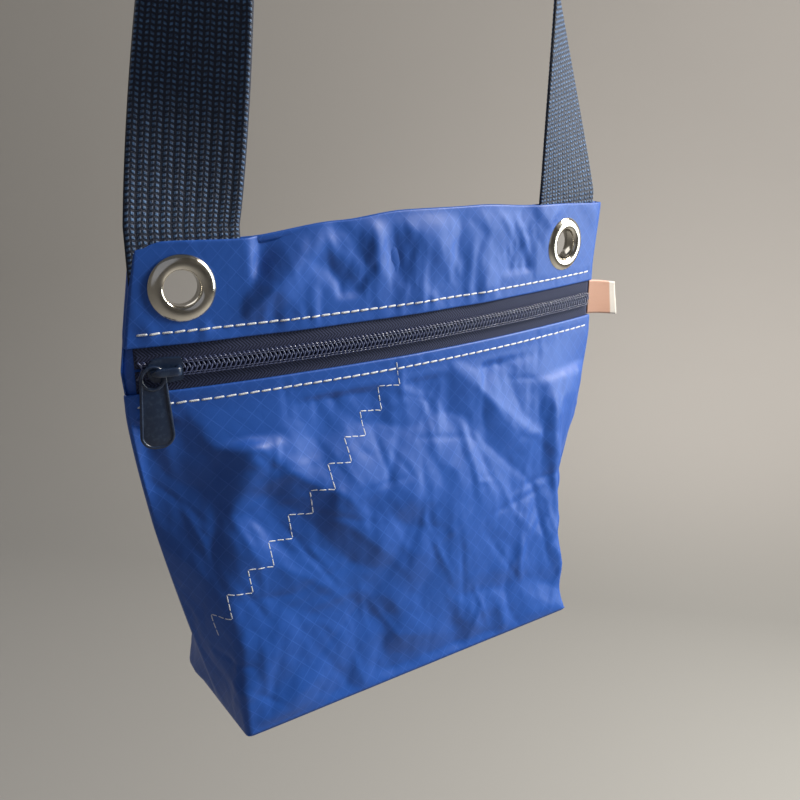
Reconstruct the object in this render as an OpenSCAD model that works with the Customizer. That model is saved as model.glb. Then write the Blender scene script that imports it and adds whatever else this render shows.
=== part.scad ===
// Small trapeze shoulder bag in sailcloth, hanging by its webbing strap.
// The origin is the point on top of the strap arch where the hook carries it, so the bag lies below zero.
// X runs along the zip, Y runs away from the front, Z is up. Millimetres.

/* [Bag] */
// Width across the top edge
top_w = 212; // [204:1:220]
// Length of the boxed base, left to right
base_l = 162; // [150:1:176]
// Depth of the boxed base, front to back
base_d = 55; // [44:1:64]
// Height from the base to the top edge
bag_h = 182; // [160:1:210]
// Thickness of the cloth shells, hems and folds together
cloth_t = 0.6; // [0.5:0.05:0.8]
// Rise of the top edge between the two straps
top_rise = 4; // [0:0.5:6]
// How late the flat upper bag opens into its box, 1 for an even change
open_rate = 1.3; // [1:0.1:1.6]
// Extra swell of the front panel at mid height
front_swell = 5; // [0:0.5:10]
// Extra swell of the back panel at mid height
back_swell = 9; // [4:0.5:14]

/* [Zip] */
// Centre line of the zip below the top edge
zip_down = 41; // [38:0.5:46]
// How far the zip line bows forward at its middle
zip_bow = 11; // [8:0.5:13]
// Height of tape that shows between the yoke and the front panel
tape_show = 17; // [15:0.5:19]
// Tape that is hidden behind each cloth edge
tape_tuck = 5.5; // [4:0.5:6]
// Thickness of the zip tape
tape_t = 0.6; // [0.4:0.05:0.8]
// Width of the closed coil
chain_w = 6.2; // [5.6:0.1:7]
// Height of the coil on its tape
chain_t = 1.9; // [1.6:0.1:2.2]
// Slit between the two tapes and between the two coils
chain_gap = 1; // [0.8:0.1:1.2]
// Thickness of one slider plate
plate_t = 1; // [0.8:0.1:1.2]
// Length of the slider
slider_l = 12; // [11:0.5:13]
// Width of the slider over its flanges
slider_w = 9.4; // [9:0.1:10]
// Middle of the closed slider from the left end of the bag
slider_in = 10; // [9:0.5:16]
// Height of the window under the crown
window_h = 1.9; // [1.6:0.1:2.4]
// Thickness of the crown bar
crown_t = 1.8; // [1.4:0.1:2.2]
// Width of the crown bar
crown_w = 3; // [2.4:0.1:3.2]
// Length of the pull tab
pull_l = 29.5; // [24:0.5:34]
// Width of the pull tab near its free end
pull_w = 11.8; // [10.5:0.1:12.5]
// Outer diameter of the eye of the pull tab
eye_d = 9; // [8.6:0.1:9.2]
// Hole in the eye of the pull tab
eye_hole = 6.4; // [6:0.1:6.8]
// Thickness of the pull tab
pull_t = 1.2; // [1:0.05:1.4]

/* [Eyelets] */
// How far both eyelets sit left of the middle of their webbing
eyelet_shift = 2; // [0:0.5:2.5]
// Centre of the eyelets below the top edge
eyelet_down = 14.2; // [13.5:0.1:15]
// Clear hole through an eyelet
hole_d = 12; // [11:0.5:13]
// Outer diameter of the eyelet flange
flange_d = 23; // [22:0.5:24]
// Height of the rolled flange on the front
flange_t = 1.6; // [1.2:0.1:2]
// Sheet metal of the eyelet
sheet_t = 0.5; // [0.4:0.05:0.6]
// Thickness of the washer on the back
washer_t = 0.6; // [0.5:0.05:0.8]

/* [Strap] */
// Width of the webbing
strap_w = 38; // [36:0.5:39]
// Thickness of the webbing
strap_t = 1.8; // [1.5:0.1:2]
// Height from the top edge of the bag to the hook
strap_drop = 400; // [360:5:440]
// Radius of the arch where the webbing lies over the hook
hook_r = 35; // [25:1:45]
// Length of webbing over which a leg makes its quarter turn
twist_l = 240; // [200:5:300]
// Length of webbing between the yoke and the back panel
strap_tuck = 25; // [23:0.5:26]
// Height of the bend line of the strap above the top edge
bend_h = 6; // [5:0.5:8]

/* [Stitches] */
// Thickness of the sewing thread in the two straight rows
thread_d = 0.8; // [0.5:0.05:0.9]
// Thickness of the sewing thread in the zigzag seam
zigzag_d = 0.5; // [0.4:0.05:0.7]
// Length of one straight stitch with its gap
stitch_pitch = 4; // [3:0.25:5]
// Distance of a topstitch from the cloth edge
stitch_in = 3.9; // [3:0.1:4.5]
// Length of one throw of the zigzag seam
zigzag_throw = 9.6; // [8:0.2:10]
// Angle of a throw to the run of the seam
zigzag_angle = 52; // [40:1:56]
// Number of throws in the zigzag seam
zigzag_n = 21; // [14:1:21]
// Upper end of the zigzag seam, left of the middle
zigzag_x = 8; // [6:1:16]

/* [Tag] */
// Length of the folded ribbon outside the side seam
tag_l = 18; // [12:0.5:22]
// Width of the ribbon
tag_w = 16; // [12:0.5:17]
// Thickness of the folded ribbon
tag_t = 0.8; // [0.6:0.1:1]

/* [Fits] */
// Gap between sewn layers and between fixed pieces
fit = 0.1; // [0.08:0.01:0.15]
// Gap round the running slider
run = 0.3; // [0.25:0.05:0.4]

/* [Hidden] */

half_top = top_w / 2;
zip_r = (half_top * half_top + zip_bow * zip_bow) / (2 * zip_bow);
zip_axis_y = zip_r - zip_bow;
layer_in = strap_t / 2 + fit;
edge = layer_in + cloth_t;
tape_out = layer_in - fit;
tape_in = tape_out - tape_t;
coil_out = tape_out + chain_t;
half_girth = base_l + base_d;
yoke_h = zip_down - tape_show / 2;
panel_top = zip_down + tape_show / 2;
end_in = half_top - cloth_t - 3 * fit;
strap_side = strap_w / 2 + fit;
strap_x = half_top - cloth_t - strap_side - 2 * fit;
slider_x = half_top - slider_in;
disc_gap = fit + flange_d * flange_d / (8 * zip_r);
barrel_d = hole_d + 2 * sheet_t;
cut_d = barrel_d + 2 * fit;
upper_plate_in = coil_out + run;
upper_plate_out = upper_plate_in + plate_t;
lower_plate_out = tape_in - run;
crown_in = upper_plate_out + window_h;
pull_in = upper_plate_out + (window_h - pull_t) / 2;
foot_in = 0.8;
foot_l = 1.6;
foot_w = 1.2;
eye_x = -slider_l / 2 + foot_in + foot_l / 2;
eye_drop = eye_hole / 2 - norm([foot_l, foot_w]) / 2 - fit;
wall_steps = 4;
face_steps = 20;
leg_steps = 26;
arch_steps = 14;
hem_h = 3;
lock_x = 2.4;
lock_w = 1;
lock_t = 0.3;
corner_lift = 0.8;
seam_lift = 0.35;
cross_lift = 0.9;
early_swell = 2;

// Forward bow of the zip line at a place across the bag
function arc(x) = sqrt(zip_r * zip_r - x * x) - zip_axis_y;
function turn(x) = asin(x / zip_r);
function ease(u) = u <= 0 ? 0 : u >= 1 ? 1 : u * u * (3 - 2 * u);

// Top edge between the straps, a low arch over their inner edges
function top_z(x) = let (half = strap_x - strap_side, u = x / half)
    abs(u) >= 1 ? 0 : top_rise * (1 - u * u);

// Cloth lengths round one half of the bag, from the left seam to the right seam
girth_at = concat([for (i = [0, 1]) i * edge],
    [for (i = [1 : wall_steps - 1]) edge + (base_d / 2 - edge) * i / wall_steps],
    [for (i = [0 : face_steps]) base_d / 2 + base_l * i / face_steps],
    [for (i = [1 : wall_steps - 1]) half_girth - base_d / 2 + (base_d / 2 - edge) * i / wall_steps],
    [for (i = [1, 0]) half_girth - i * edge]);

// Lens shape of the flat upper bag: side wall, bowed face, side wall
function lens(q, bow, swell, inset) = let (
    s = max(-1, min(1, 2 * (q - edge) / (half_girth - 2 * edge) - 1)),
    x = s * (half_top - inset),
    wall = min(q, half_girth - q) / edge,
    y = (edge - inset) * min(1, wall) + (wall < 1 ? 0 : bow * arc(x) + swell * (1 - s * s)))
    [x, y];

// Box shape of the base: side wall, flat face, side wall
function box_end(q, inset) = let (
    l = base_l / 2 - inset, d = base_d / 2 - inset, c = base_d / 2,
    s = max(-1, min(1, 2 * (q - c) / base_l - 1)),
    wall = min(1, min(q, half_girth - q) / c))
    [s * l, d * wall];

function blend(q, k, bow, swell, inset) =
    (1 - k) * lens(q, bow, swell, inset) + k * box_end(q, inset);

// One row of a shell: height, share of box shape, forward bow and swell
function front_row(z) = let (
    start = panel_top + tape_tuck + 1, u = (z - start) / (bag_h - cloth_t - start))
    [-z, pow(max(0, u), open_rate), 1,
        front_swell * sin(180 * max(0, min(1, u))) + early_swell * max(0, min(1, 3 * u))];
function back_row(z) = let (
    leave = strap_tuck - 1, u = (z - zip_down) / (bag_h - cloth_t - zip_down))
    [-z, pow(max(0, u), open_rate), ease((z - leave) / 26) - 1,
        4 * ease((z - leave) / 26) + (back_swell - 4) * sin(180 * max(0, min(1, u)))];

// Closed shell from rows of points, an outer skin and an inner skin
module shell(rows, side, arch = false) {
    n = len(girth_at);
    m = len(rows);
    function lift(j, x) = arch && j == 0 ? top_z(x) : 0;
    function skin(inset) = [for (j = [0 : m - 1]) for (q = girth_at)
        let (p = blend(q, rows[j][1], rows[j][2], rows[j][3], inset))
        [p[0], side * p[1], rows[j][0] + lift(j, p[0])]];
    points = concat(skin(0), skin(cloth_t));
    total = n * m;
    quads = concat(
        [for (j = [0 : m - 2]) for (i = [0 : n - 2]) let (a = j * n + i) [a, a + 1, a + n + 1, a + n]],
        [for (j = [0 : m - 2]) for (i = [0 : n - 2]) let (a = total + j * n + i) [a, a + n, a + n + 1, a + 1]],
        [for (i = [0 : n - 2]) [i + 1, i, total + i, total + i + 1]],
        [for (i = [0 : n - 2]) let (a = (m - 1) * n + i) [a, a + 1, total + a + 1, total + a]],
        [for (j = [0 : m - 2]) let (a = j * n) [a, a + n, total + a + n, total + a]],
        [for (j = [0 : m - 2]) let (a = j * n + n - 1) [a + n, a, total + a, total + a + n]]);
    faces = [for (f = quads) each (side > 0 ? [[f[2], f[1], f[0]], [f[3], f[2], f[0]]]
        : [[f[0], f[1], f[2]], [f[0], f[2], f[3]]])];
    polyhedron(points, faces, convexity = 6);
}

// Everything on the bag is drawn from its top edge down
module on_bag() {
    translate([0, 0, -strap_drop]) children();
}

// Local frame on the zip line: X along it, -Y outward, Z up, at the arc through the webbing middle
module on_arc(x, z) {
    translate([0, zip_axis_y, z]) rotate([0, 0, turn(x)]) translate([0, -zip_r, 0]) children();
}

// Wall that follows the bow of the zip line
module band(r0, r1, z0, z1, x0, x1) {
    translate([0, zip_axis_y, 0]) rotate([0, 0, 270 + turn(x0)])
        rotate_extrude(angle = turn(x1) - turn(x0), $fn = 720)
            translate([zip_r + r0, z0]) square([r1 - r0, z1 - z0]);
}

module eyelet_cuts() {
    for (x = [-strap_x, strap_x])
        on_arc(x - eyelet_shift, -eyelet_down) rotate([90, 0, 0])
            cylinder(h = 4 * edge, d = cut_d, center = true, $fn = 48);
}

// Front outline of the yoke, a prism along Y
module yoke_outline() {
    steps = 16;
    half = strap_x - strap_side;
    top = [for (i = [0 : steps]) let (x = half - 2 * half * i / steps) [x, top_z(x)]];
    outline = concat([[-half_top, 0], [-half_top, -yoke_h], [half_top, -yoke_h], [half_top, 0]], top);
    translate([0, zip_bow, 0]) rotate([90, 0, 0]) linear_extrude(3 * zip_bow + 4 * edge) polygon(outline);
}

module front_yoke() {
    seam = half_top - cloth_t;
    color("royalblue") on_bag() difference() {
        intersection() {
            union() {
                band(layer_in, edge, -yoke_h, top_rise, -half_top, half_top);
                band(-layer_in + fit, edge, -hem_h, top_rise, -strap_x + strap_side, strap_x - strap_side);
                band(0, edge, -yoke_h, 0, -half_top, -seam);
                band(0, edge, -yoke_h, 0, seam, half_top);
            }
            yoke_outline();
        }
        eyelet_cuts();
    }
}

module front_panel() {
    flat = panel_top + tape_tuck + 1;
    low = bag_h - cloth_t;
    heights = concat([panel_top, flat], [for (i = [1 : 9]) flat + (low - flat) * i / 9]);
    color("royalblue") on_bag() {
        shell([for (z = heights) front_row(z)], -1);
        translate([-base_l / 2, -base_d / 2, -bag_h]) cube([base_l, base_d / 2, cloth_t]);
    }
}

module back_panel() {
    low = bag_h - cloth_t;
    leave = strap_tuck - 1;
    heights = concat([0, eyelet_down, leave], [for (i = [1 : 4]) leave + 26 * i / 4],
        [for (i = [1 : 8]) leave + 26 + (low - leave - 26) * i / 8]);
    color("royalblue") on_bag() difference() {
        union() {
            shell([for (z = heights) back_row(z)], 1, true);
            translate([-base_l / 2, 0, -bag_h]) cube([base_l, base_d / 2, cloth_t]);
        }
        eyelet_cuts();
    }
}

module strap_end(side) {
    color("midnightblue") on_bag() difference() {
        band(-strap_t / 2, strap_t / 2, -strap_tuck, 0,
            side * strap_x - strap_w / 2, side * strap_x + strap_w / 2);
        eyelet_cuts();
    }
}

// Webbing from the bend line over the hook and back down, its lean worked out from the hook and the drop
module strap_loop() {
    mid_r = hook_r + strap_t / 2;
    centre_z = -mid_r + strap_t / 2;
    foot_z = -strap_drop + bend_h;
    dz = centre_z - foot_z;
    lean = atan(strap_x / dz) - asin(mid_r / norm([strap_x, dz]));
    leg_l = sqrt(strap_x * strap_x + dz * dz - mid_r * mid_r);
    foot_turn = turn(strap_x);
    function leg(u) = let (l = leg_l * u) [
        [strap_x - l * sin(lean), -arc(strap_x) * (1 - u), foot_z + l * cos(lean)],
        foot_turn + (90 - foot_turn) * (1 - pow(max(0, 1 - l / twist_l), 1.5)), [cos(lean), sin(lean)]];
    function over(u) = let (a = lean + (180 - 2 * lean) * u)
        [[mid_r * cos(a), 0, centre_z + mid_r * sin(a)], 90, [cos(a), sin(a)]];
    function flip(s) = [[-s[0][0], s[0][1], s[0][2]], s[1], [-s[2][0], s[2][1]]];
    stations = concat([for (i = [0 : leg_steps]) leg(i / leg_steps)],
        [for (i = [1 : arch_steps - 1]) over(i / arch_steps)],
        [for (i = [leg_steps : -1 : 0]) flip(leg(i / leg_steps))]);
    function ring(s) = let (
        out = [s[2][0], 0, s[2][1]],
        wide = cos(s[1]) * out + [0, sin(s[1]), 0],
        face = [0, cos(s[1]), 0] - sin(s[1]) * out)
        [for (c = [[1, 1], [-1, 1], [-1, -1], [1, -1]])
            s[0] + c[0] * strap_w / 2 * wide + c[1] * strap_t / 2 * face];
    points = [for (s = stations) each ring(s)];
    last = len(stations) - 1;
    end = 4 * last;
    faces = concat([[0, 1, 2], [0, 2, 3], [end + 2, end + 1, end], [end + 3, end + 2, end]],
        [for (i = [0 : last - 1]) for (k = [0 : 3]) let (a = 4 * i + k, b = 4 * i + (k + 1) % 4)
            each [[a, a + 4, b], [b, a + 4, b + 4]]]);
    color("midnightblue") polyhedron(points, faces, convexity = 8);
}

module zip_tape(side) {
    inner = -zip_down + side * chain_gap / 2;
    outer = -zip_down + side * (tape_show / 2 + tape_tuck);
    color("black") on_bag() band(tape_in, tape_out, min(inner, outer), max(inner, outer), -end_in, end_in);
}

module zip_coil(side) {
    inner = -zip_down + side * chain_gap / 2;
    outer = -zip_down + side * chain_w / 2;
    color("darkslateblue") on_bag()
        band(tape_out, coil_out, min(inner, outer), max(inner, outer), -end_in, end_in);
}

// Rolled flange and barrel of one eyelet, its hole a true bore
module eyelet(side) {
    back = edge + disc_gap + washer_t + sheet_t;
    roll = flange_t - sheet_t;
    rim = flange_d / 2 - hole_d / 2;
    crest = [0.8, 2.6];
    clinch = 2.2;
    color("silver") on_bag() on_arc(side * strap_x - eyelet_shift, -eyelet_down) rotate([90, 0, 0])
        rotate_extrude($fn = 96) {
            translate([hole_d / 2, -back]) square([sheet_t, back + edge + sheet_t]);
            translate([hole_d / 2, edge]) square([rim, sheet_t]);
            translate([hole_d / 2, edge + sheet_t])
                polygon([[0, 0], [0, 0.3 * roll], [crest[0], roll], [crest[1], roll], [rim, 0]]);
            translate([hole_d / 2, -back]) square([clinch, sheet_t]);
        }
}

module washer(side) {
    color("silver") on_bag() on_arc(side * strap_x - eyelet_shift, -eyelet_down) rotate([90, 0, 0])
        translate([0, 0, -edge - disc_gap - washer_t]) difference() {
            cylinder(h = washer_t, d = flange_d, $fn = 96);
            translate([0, 0, -washer_t]) cylinder(h = 3 * washer_t, d = cut_d, $fn = 96);
        }
}

// Row of straight stitches on the arc, one thread rod each
module stitch_row(z) {
    sewn = 0.9 * stitch_pitch;
    lift = 0.02;
    count = floor(2 * (half_top - 4) / stitch_pitch);
    for (i = [0 : count - 1]) {
        x = (i + 0.5 - count / 2) * stitch_pitch;
        on_arc(x, z) translate([-sewn / 2, -edge - thread_d / 2 - lift, 0]) rotate([0, 90, 0])
            cylinder(h = sewn, d = thread_d, $fn = 16);
    }
}

module upper_topstitch() {
    color("white") on_bag() stitch_row(-yoke_h + stitch_in);
}

module lower_topstitch() {
    color("white") on_bag() stitch_row(-panel_top - stitch_in);
}

// Place of a thread on the front panel for a cloth length and a height, clear of the corner fold and the stitch row
function panel_point(q, z) = let (
    r = front_row(z),
    over_corner = corner_lift * max(0, 1 - abs(q - base_d / 2) / 5),
    over_row = cross_lift * max(0, 1 - abs(z - panel_top - stitch_in) / 4),
    lift = zigzag_d / 2 + seam_lift + over_corner + over_row,
    p = blend(q, r[1], r[2], r[3], -lift))
    [p[0], -p[1], -z];

// Zigzag seam that runs down to the left at 45 degrees, three stitches in each throw
module zigzag_stitch() {
    q_top = half_girth / 2 - zigzag_x;
    z_top = panel_top + 1;
    function throw_to(n) = let (
        whole = floor(n), part = n - whole,
        down = ceil(whole / 2) + (whole % 2 == 0 ? part : 0),
        left = floor(whole / 2) + (whole % 2 == 0 ? 0 : part),
        a = 135 - zigzag_angle, b = 135 + zigzag_angle)
        panel_point(q_top + zigzag_throw * (down * cos(a) + left * cos(b)),
            z_top + zigzag_throw * (down * sin(a) + left * sin(b)));
    color("white") on_bag() for (i = [0 : zigzag_n - 1]) for (j = [0 : 2]) {
        a = throw_to(i + (j + 0.08) / 3);
        d = throw_to(i + (j + 0.92) / 3) - a;
        translate(a) rotate([0, acos(d[2] / norm(d)), atan2(d[1], d[0])])
            cylinder(h = norm(d), d = zigzag_d, $fn = 16);
    }
}

module label_tag() {
    color("antiquewhite") on_bag() translate([half_top, -tag_t / 2, -zip_down - tag_w / 2])
        cube([tag_l, tag_t, tag_w]);
}

// Slider in its own frame: zip along X, outward is -Y, middle of the webbing layer at Y = 0
module on_slider() {
    on_bag() on_arc(-slider_x, -zip_down) children();
}

// Plan of a slider plate: round shoulders at the leading end, straight tail
module plate(y_out, y_in) {
    nose = slider_w / 2;
    tail = nose - 0.9;
    translate([0, -y_in, 0]) rotate([90, 0, 0]) linear_extrude(y_out - y_in) intersection() {
        translate([-slider_l / 2, -nose]) square([slider_l, 2 * nose]);
        union() {
            translate([-slider_l / 2 + nose, 0]) circle(r = nose, $fn = 64);
            translate([-slider_l / 2 + nose, -tail]) square([slider_l - nose, 2 * tail]);
        }
    }
}

module slider_body() {
    inner_w = chain_w / 2 + run;
    lip_in = tape_out + run;
    web_gap = 0.2;
    web_t = chain_gap - 2 * web_gap;
    web_in = 0.6;
    web_l = 3;
    color("darkslategray") on_slider() {
        plate(lower_plate_out, lower_plate_out - plate_t);
        difference() {
            plate(upper_plate_out, upper_plate_in);
            translate([lock_x - fit, -upper_plate_out - fit, -lock_w / 2 - fit])
                cube([lock_t + 2 * fit, plate_t + 2 * fit, lock_w + 2 * fit]);
        }
        difference() {
            plate(upper_plate_in, lip_in);
            translate([-slider_l, -upper_plate_in - plate_t, -inner_w])
                cube([2 * slider_l, upper_plate_in + plate_t, 2 * inner_w]);
        }
        translate([-slider_l / 2 + web_in, -upper_plate_in - plate_t / 2, -web_t / 2])
            cube([web_l, upper_plate_in - lower_plate_out + plate_t, web_t]);
    }
}

// Crown over the slider: two feet and a rounded bar with the window under it
module slider_crown() {
    bar_y = -crown_in - crown_t;
    bar_l = slider_l - 2 * foot_in;
    r = crown_w / 2;
    color("darkslategray") on_slider() {
        translate([-bar_l / 2, -upper_plate_out - window_h, -foot_w / 2]) cube([foot_l, window_h, foot_w]);
        translate([bar_l / 2 - foot_l, -upper_plate_out - window_h, -r]) cube([foot_l, window_h, crown_w]);
        translate([-bar_l / 2 + r * 0.4, bar_y, -r]) cube([bar_l - r * 0.4, crown_t, crown_w]);
        translate([-bar_l / 2 + r * 0.4, -crown_in, 0]) rotate([90, 0, 0]) intersection() {
            cylinder(h = crown_t, r = r, $fn = 48);
            translate([-r * 0.4, -r, 0]) cube([2 * r, 2 * r, crown_t]);
        }
    }
}

// Leaf spring that locks the slider: a leaf under the crown bar and a tooth through the plate to the coil
module slider_lock_spring() {
    leaf_l = slider_l / 2 - foot_in - foot_l - lock_x;
    color("silver") on_slider() {
        translate([lock_x, -crown_in + fit, -lock_w / 2]) cube([leaf_l, lock_t, lock_w]);
        translate([lock_x, -crown_in + fit, -lock_w / 2]) cube([lock_t, crown_in - fit - upper_plate_in, lock_w]);
    }
}

// Pull tab, hung by its eye from the crown foot: sides that widen to a round free end, sunk panel
module pull_tab() {
    end_flat = 0.9;
    rim = 1;
    sunk = 0.25;
    neck_r = 2.4;
    neck_in = 1.6;
    end_r = pull_w / 2 - end_flat;
    end_z = end_r + eye_d / 2 - pull_l;
    color("darkslategray") on_slider() translate([eye_x, -pull_in, -eye_drop]) rotate([90, 0, 0]) difference() {
        linear_extrude(pull_t) difference() {
            hull() {
                circle(d = eye_d, $fn = 48);
                for (x = [-end_flat, end_flat]) translate([x, end_z]) circle(r = end_r, $fn = 48);
            }
            circle(d = eye_hole, $fn = 64);
        }
        translate([0, 0, pull_t - sunk]) linear_extrude(pull_t) hull() {
            translate([0, -eye_d / 2 - neck_in]) circle(r = neck_r, $fn = 32);
            for (x = [-end_flat, end_flat]) translate([x, end_z]) circle(r = end_r - rim, $fn = 32);
        }
    }
}

strap_loop();
strap_end(-1);  // left_strap_end
strap_end(1);  // right_strap_end
front_yoke();
front_panel();
back_panel();
zip_tape(1);  // upper_zip_tape
zip_tape(-1);  // lower_zip_tape
zip_coil(1);  // upper_zip_coil
zip_coil(-1);  // lower_zip_coil
eyelet(-1);  // left_eyelet
eyelet(1);  // right_eyelet
washer(-1);  // left_washer
washer(1);  // right_washer
upper_topstitch();
lower_topstitch();
zigzag_stitch();
label_tag();
slider_body();
slider_crown();
slider_lock_spring();
pull_tab();
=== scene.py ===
import math
import random

import bmesh
import bpy
import numpy as np
from mathutils import Matrix, Vector


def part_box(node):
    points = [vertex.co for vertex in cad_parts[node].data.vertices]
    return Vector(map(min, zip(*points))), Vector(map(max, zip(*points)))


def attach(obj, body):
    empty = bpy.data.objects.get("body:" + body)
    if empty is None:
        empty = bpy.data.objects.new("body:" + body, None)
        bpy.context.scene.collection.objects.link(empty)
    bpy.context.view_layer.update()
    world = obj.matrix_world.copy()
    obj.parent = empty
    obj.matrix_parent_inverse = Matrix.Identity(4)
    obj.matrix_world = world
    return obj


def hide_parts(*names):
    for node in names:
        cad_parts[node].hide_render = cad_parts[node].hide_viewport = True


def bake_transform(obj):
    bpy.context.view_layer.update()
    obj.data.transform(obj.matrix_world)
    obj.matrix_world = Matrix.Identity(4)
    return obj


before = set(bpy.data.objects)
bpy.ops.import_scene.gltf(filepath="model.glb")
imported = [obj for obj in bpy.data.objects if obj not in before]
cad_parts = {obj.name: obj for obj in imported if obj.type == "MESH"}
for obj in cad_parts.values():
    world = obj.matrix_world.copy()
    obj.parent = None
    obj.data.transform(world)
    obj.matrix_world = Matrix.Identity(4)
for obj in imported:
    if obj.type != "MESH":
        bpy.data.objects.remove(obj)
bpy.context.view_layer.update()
mm = 0.001

# Sizes of the bag in millimetres, measured down from the top edge; the frame gives the overall ones.
bagLow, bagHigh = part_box("back_panel")
bag = {
    "halfTop": (bagHigh.x - bagLow.x) / 2 / mm,
    "height": 182,
    "baseLength": 162,
    "baseDepth": 55,
    "zipDown": 41,
    "zipBow": 11,
    "tapeShow": 17,
    "tapeTuck": 5.5,
    "edge": 1.6,         # outer cloth face in front of the middle of the webbing
    "tapeOut": 0.9,      # front face of the zip tape
    "coilHeight": 1.9,
    "strapX": 86.1,
    "eyeletShift": 2,    # both eyelets sit this far left of the middle of their webbing
    "eyeletDown": 14.2,
    "openRate": 1.3,
    "frontSwell": 5,
    "backSwell": 9,
}
topEdge = bagLow.z + bag["height"] * mm
halfTop = bag["halfTop"]
girth = bag["baseLength"] + bag["baseDepth"]
zipRadius = (halfTop ** 2 + bag["zipBow"] ** 2) / (2 * bag["zipBow"])
zipAxisY = zipRadius - bag["zipBow"]
yokeEnd = bag["zipDown"] - bag["tapeShow"] / 2
panelStart = bag["zipDown"] + bag["tapeShow"] / 2


def hexColor(text):
    channels = [int(text[i:i + 2], 16) / 255 for i in (1, 3, 5)]
    return [c / 12.92 if c <= 0.04045 else ((c + 0.055) / 1.055) ** 2.4 for c in channels] + [1]


# A link's source is a node, for its first output, or one output
def addNode(tree, kind, links=None, values=None, **settings):
    node = tree.nodes.new("ShaderNode" + kind)
    for name, value in settings.items():
        setattr(node, name, value)
    for name, value in (values or {}).items():
        node.inputs[name].default_value = value
    for name, source in (links or {}).items():
        tree.links.new(getattr(source, "outputs", [source])[0], node.inputs[name])
    return node


def newMaterial(name, **values):
    material = bpy.data.materials.new(name)
    material.use_nodes = True
    tree = material.node_tree
    shader = tree.nodes["Principled BSDF"]
    for key, value in values.items():
        shader.inputs[key.replace("_", " ")].default_value = value
    return material, tree, shader


def addObject(name, data):
    added = bpy.data.objects.new(name, data)
    bpy.context.scene.collection.objects.link(added)
    return added


def ease(u):
    u = np.clip(u, 0, 1)
    return u * u * (3 - 2 * u)


# Camera, at the photograph's place and angle
view = {"place": (-195, -292, 46.3), "yaw": -34.05, "pitch": 71.5, "lens": 40.86, "sensor": 36}


def makeCamera():
    data = bpy.data.cameras.new("camera")
    data.lens = view["lens"]
    data.sensor_width = view["sensor"]
    camera = addObject("camera", data)
    x, y, z = view["place"]
    camera.location = (x * mm, y * mm, topEdge + z * mm)
    camera.rotation_euler = (math.radians(view["pitch"]), 0, math.radians(view["yaw"]))
    bpy.context.scene.camera = camera


# Plain pale floor that rises all round, and soft studio light
studio = {
    "floorColor": "#b5b3b0",
    "floorDrop": 330,
    "floorRadius": 1500,
    "wallRise": 2600,
    "lamps": [   # name, place, aim, size, power, color
        ("key", (640, -330, 430), (0, 0, -70), (240, 240), 11, "#fff8ee"),
        ("window", (700, -330, 0), (0, 0, -60), (320, 460), 3.2, "#f4fbf6"),
        ("fill", (-700, -1000, 500), (0, 0, -80), (1200, 1200), 1.1, "#dfe8ff"),
        ("back", (-250, 900, 600), (0, 0, -60), (900, 600), 2.2, "#ffffff"),
        ("wall", (900, 300, 500), (1500, 900, 300), (900, 900), 15, "#fff8f0"),
    ],
    "world": "#dfe3ea",
    "worldStrength": 0.11,
}


def makeStudio():
    color = hexColor(studio["floorColor"])
    material = newMaterial("matt_painted_plaster", Roughness=0.9, Base_Color=color)[0]
    bm = bmesh.new()
    floorZ = bagLow.z - studio["floorDrop"] * mm
    radius, rise = studio["floorRadius"] * mm, studio["wallRise"] * mm
    places = [(0, 0), (radius * 0.6, 0)]
    for i in range(1, 13):
        angle = math.pi / 2 * i / 12
        places.append((radius * (0.6 + 0.9 * math.sin(angle)), rise * 0.4 * (1 - math.cos(angle))))
    places.append((radius * 1.5, rise))
    spinProfile(bm, [(x, floorZ + z) for x, z in places], 64)
    bmesh.ops.reverse_faces(bm, faces=bm.faces)
    mesh = bpy.data.meshes.new("backdrop")
    bm.to_mesh(mesh)
    mesh.shade_smooth()
    mesh.materials.append(material)
    backdrop = addObject("backdrop", mesh)
    for name, place, aim, size, power, color in studio["lamps"]:
        data = bpy.data.lights.new(name, "AREA")
        data.shape = "RECTANGLE"
        data.size, data.size_y = size[0] * mm, size[1] * mm
        data.energy = power
        data.color = hexColor(color)[:3]
        light = addObject(name, data)
        light.location = Vector(toFrame(place))
        light.rotation_euler = (Vector(toFrame(aim)) - light.location).to_track_quat("-Z", "Y").to_euler()
    world = bpy.data.worlds.new("soft_room")
    world.use_nodes = True
    background = world.node_tree.nodes["Background"]
    background.inputs["Color"].default_value = hexColor(studio["world"])
    background.inputs["Strength"].default_value = studio["worldStrength"]
    bpy.context.scene.world = world


def finishPiece(name, bm, material, body, replaced=(), smooth=True):
    mesh = bpy.data.meshes.new(name)
    bm.to_mesh(mesh)
    bm.free()
    if smooth:
        mesh.shade_smooth()
    mesh.materials.append(material)
    piece = addObject(name, mesh)
    if body:
        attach(piece, body)
    if replaced:
        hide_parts(*replaced)
    return piece


def thicken(piece, thick, offset=-1):
    wall = piece.modifiers.new("thickness", "SOLIDIFY")
    wall.thickness, wall.offset = thick * mm, offset


# Turns a profile about the upright axis
def spinProfile(bm, places, steps, closed=False):
    verts = [bm.verts.new((x, 0, z)) for x, z in places]
    edges = [bm.edges.new(pair) for pair in zip(verts, verts[1:] + verts[:1] * closed)]
    bmesh.ops.spin(bm, geom=verts + edges, axis=(0, 0, 1), cent=(0, 0, 0), angle=math.tau, steps=steps,
                   use_merge=True)
    bmesh.ops.remove_doubles(bm, verts=bm.verts, dist=1e-5)
    faceOut(bm)


def faceOut(bm):
    bmesh.ops.recalc_face_normals(bm, faces=bm.faces)


def unit(vectors):
    return vectors / np.maximum(1e-9, np.linalg.norm(vectors, axis=1))[:, None]


# Index of a grid row or column from its share of the way
def stepOf(share, count):
    return np.rint(share * (count - 1)).astype(int)


def toFrame(points):
    return np.asarray(points) * mm + np.array([0, 0, topEdge])


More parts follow.
